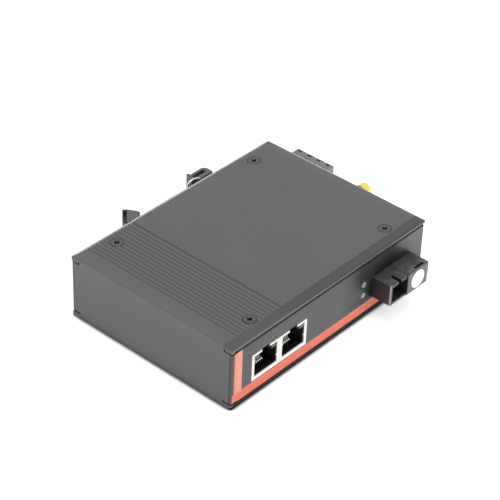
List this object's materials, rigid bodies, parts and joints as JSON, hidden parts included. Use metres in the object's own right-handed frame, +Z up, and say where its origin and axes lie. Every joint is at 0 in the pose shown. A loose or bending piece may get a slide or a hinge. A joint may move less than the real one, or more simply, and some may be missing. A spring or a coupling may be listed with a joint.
{
  "type": "fibre media converter",
  "caption": "Low ribbed metal case with network sockets and a fibre socket on one long side, a pluggable terminal and an earth screw on one end, and a sprung rail clip at the back.",
  "frame": {"origin": "centre of the bottom of the whole bounding box, on the wide ribbed face that the case lies on", "axes": "+X along the port side towards the terminal end, +Y from the port side towards the rail clip, +Z up through the thin way of the case"},
  "size_m": [0.127, 0.1064, 0.029],
  "materials": {
    "cover_paint": "fine satin paint, dark grey",
    "chassis_paint": "fine satin paint, dark grey",
    "black_screw": "blackened",
    "steel": "bright zinc",
    "board_green": "solder resist",
    "jack_metal": "tinned",
    "black_plastic": "moulded",
    "gold_contact": "gold plated",
    "clear_window": "clear",
    "lens_grey": "frosted",
    "ceramic": "polished",
    "seal_white": "paper label, blank",
    "terminal_plastic": "moulded",
    "terminal_metal": "zinc plated",
    "brass_yellow": "yellow passivated",
    "chip_black": "moulded package",
    "can_metal": "satin",
    "ferrite": "sintered",
    "winding": "taped winding",
    "clip_plastic": "moulded",
    "spring_steel": "bright wire"
  },
  "bodies": {
    "case": {"ribbed_cover": "cover_paint", "chassis": "chassis_paint", "cover_screws_top": "black_screw", "cover_screws_bottom": "black_screw", "main_board": "board_green", "board_posts": "steel", "board_screws": "steel", "jack_shield_left": "jack_metal", "jack_shield_right": "jack_metal", "jack_housing_left": "black_plastic", "jack_housing_right": "black_plastic", "jack_contacts_left": "gold_contact", "jack_contacts_right": "gold_contact", "jack_light_windows_left": "clear_window", "jack_light_windows_right": "clear_window", "transceiver_housing": "black_plastic", "optical_barrel": "steel", "ceramic_sleeve": "ceramic", "latch_arms": "black_plastic", "transceiver_pins": "gold_contact", "round_seal": "seal_white", "lamp_holder": "black_plastic", "lamp_lower": "lens_grey", "lamp_upper": "lens_grey", "terminal_header": "terminal_plastic", "header_pins": "terminal_metal", "earth_screw": "brass_yellow", "earth_flat_washer": "steel", "earth_spring_washer": "steel", "earth_nut": "steel", "switch_chip": "chip_black", "fibre_chip": "chip_black", "memory_chip": "chip_black", "magnetics_left": "chip_black", "magnetics_right": "chip_black", "crystal_can": "can_metal", "capacitor_1": "can_metal", "capacitor_2": "can_metal", "capacitor_3": "can_metal", "transformer_winding": "winding", "transformer_core": "ferrite", "power_inductor": "ferrite", "regulator": "chip_black", "input_fuse": "chip_black", "diodes": "chip_black", "clip_base": "clip_plastic", "clip_screws": "steel", "clip_spring": "spring_steel"},
    "rail_foot": {"clip_foot": "clip_plastic"},
    "plug": {"terminal_plug": "terminal_plastic", "plug_contacts": "terminal_metal"},
    "screw_1": {"clamp_screw_1": "terminal_metal"},
    "cage_1": {"clamp_cage_1": "terminal_metal"},
    "screw_2": {"clamp_screw_2": "terminal_metal"},
    "cage_2": {"clamp_cage_2": "terminal_metal"},
    "screw_3": {"clamp_screw_3": "terminal_metal"},
    "cage_3": {"clamp_cage_3": "terminal_metal"},
    "screw_4": {"clamp_screw_4": "terminal_metal"},
    "cage_4": {"clamp_cage_4": "terminal_metal"}
  },
  "joints": [
    {"name": "foot_slide", "type": "slide", "parent": "case", "child": "rail_foot", "axis": [1, 0, 0], "range_m": [0, 0.005], "stiffness_N_per_m": 2000, "springref_m": -0.002, "deforming": ["clip_spring"]},
    {"name": "plug_pull", "type": "slide", "parent": "case", "child": "plug", "axis": [1, 0, 0], "range_m": [0, 0.014]},
    {"name": "screw_turn_1", "type": "hinge", "parent": "plug", "child": "screw_1", "pos_m": [0.05755, 0.01511, 0.0183], "axis": [0, 0, 1], "range_deg": [-1080, 0]},
    {"name": "cage_rise_1", "type": "slide", "parent": "plug", "child": "cage_1", "axis": [0, 0, 1], "range_m": [0, 0.00135]},
    {"name": "screw_turn_2", "type": "hinge", "parent": "plug", "child": "screw_2", "pos_m": [0.05755, 0.02019, 0.0183], "axis": [0, 0, 1], "range_deg": [-1080, 0]},
    {"name": "cage_rise_2", "type": "slide", "parent": "plug", "child": "cage_2", "axis": [0, 0, 1], "range_m": [0, 0.00135]},
    {"name": "screw_turn_3", "type": "hinge", "parent": "plug", "child": "screw_3", "pos_m": [0.05755, 0.02526, 0.0183], "axis": [0, 0, 1], "range_deg": [-1080, 0]},
    {"name": "cage_rise_3", "type": "slide", "parent": "plug", "child": "cage_3", "axis": [0, 0, 1], "range_m": [0, 0.00135]},
    {"name": "screw_turn_4", "type": "hinge", "parent": "plug", "child": "screw_4", "pos_m": [0.05755, 0.03035, 0.0183], "axis": [0, 0, 1], "range_deg": [-1080, 0]},
    {"name": "cage_rise_4", "type": "slide", "parent": "plug", "child": "cage_4", "axis": [0, 0, 1], "range_m": [0, 0.00135]}
  ],
  "couplings": [
    {"joint": "screw_turn_1", "follows": "cage_rise_1", "rad_per_m": -13963},
    {"joint": "screw_turn_2", "follows": "cage_rise_2", "rad_per_m": -13963},
    {"joint": "screw_turn_3", "follows": "cage_rise_3", "rad_per_m": -13963},
    {"joint": "screw_turn_4", "follows": "cage_rise_4", "rad_per_m": -13963}
  ]
}
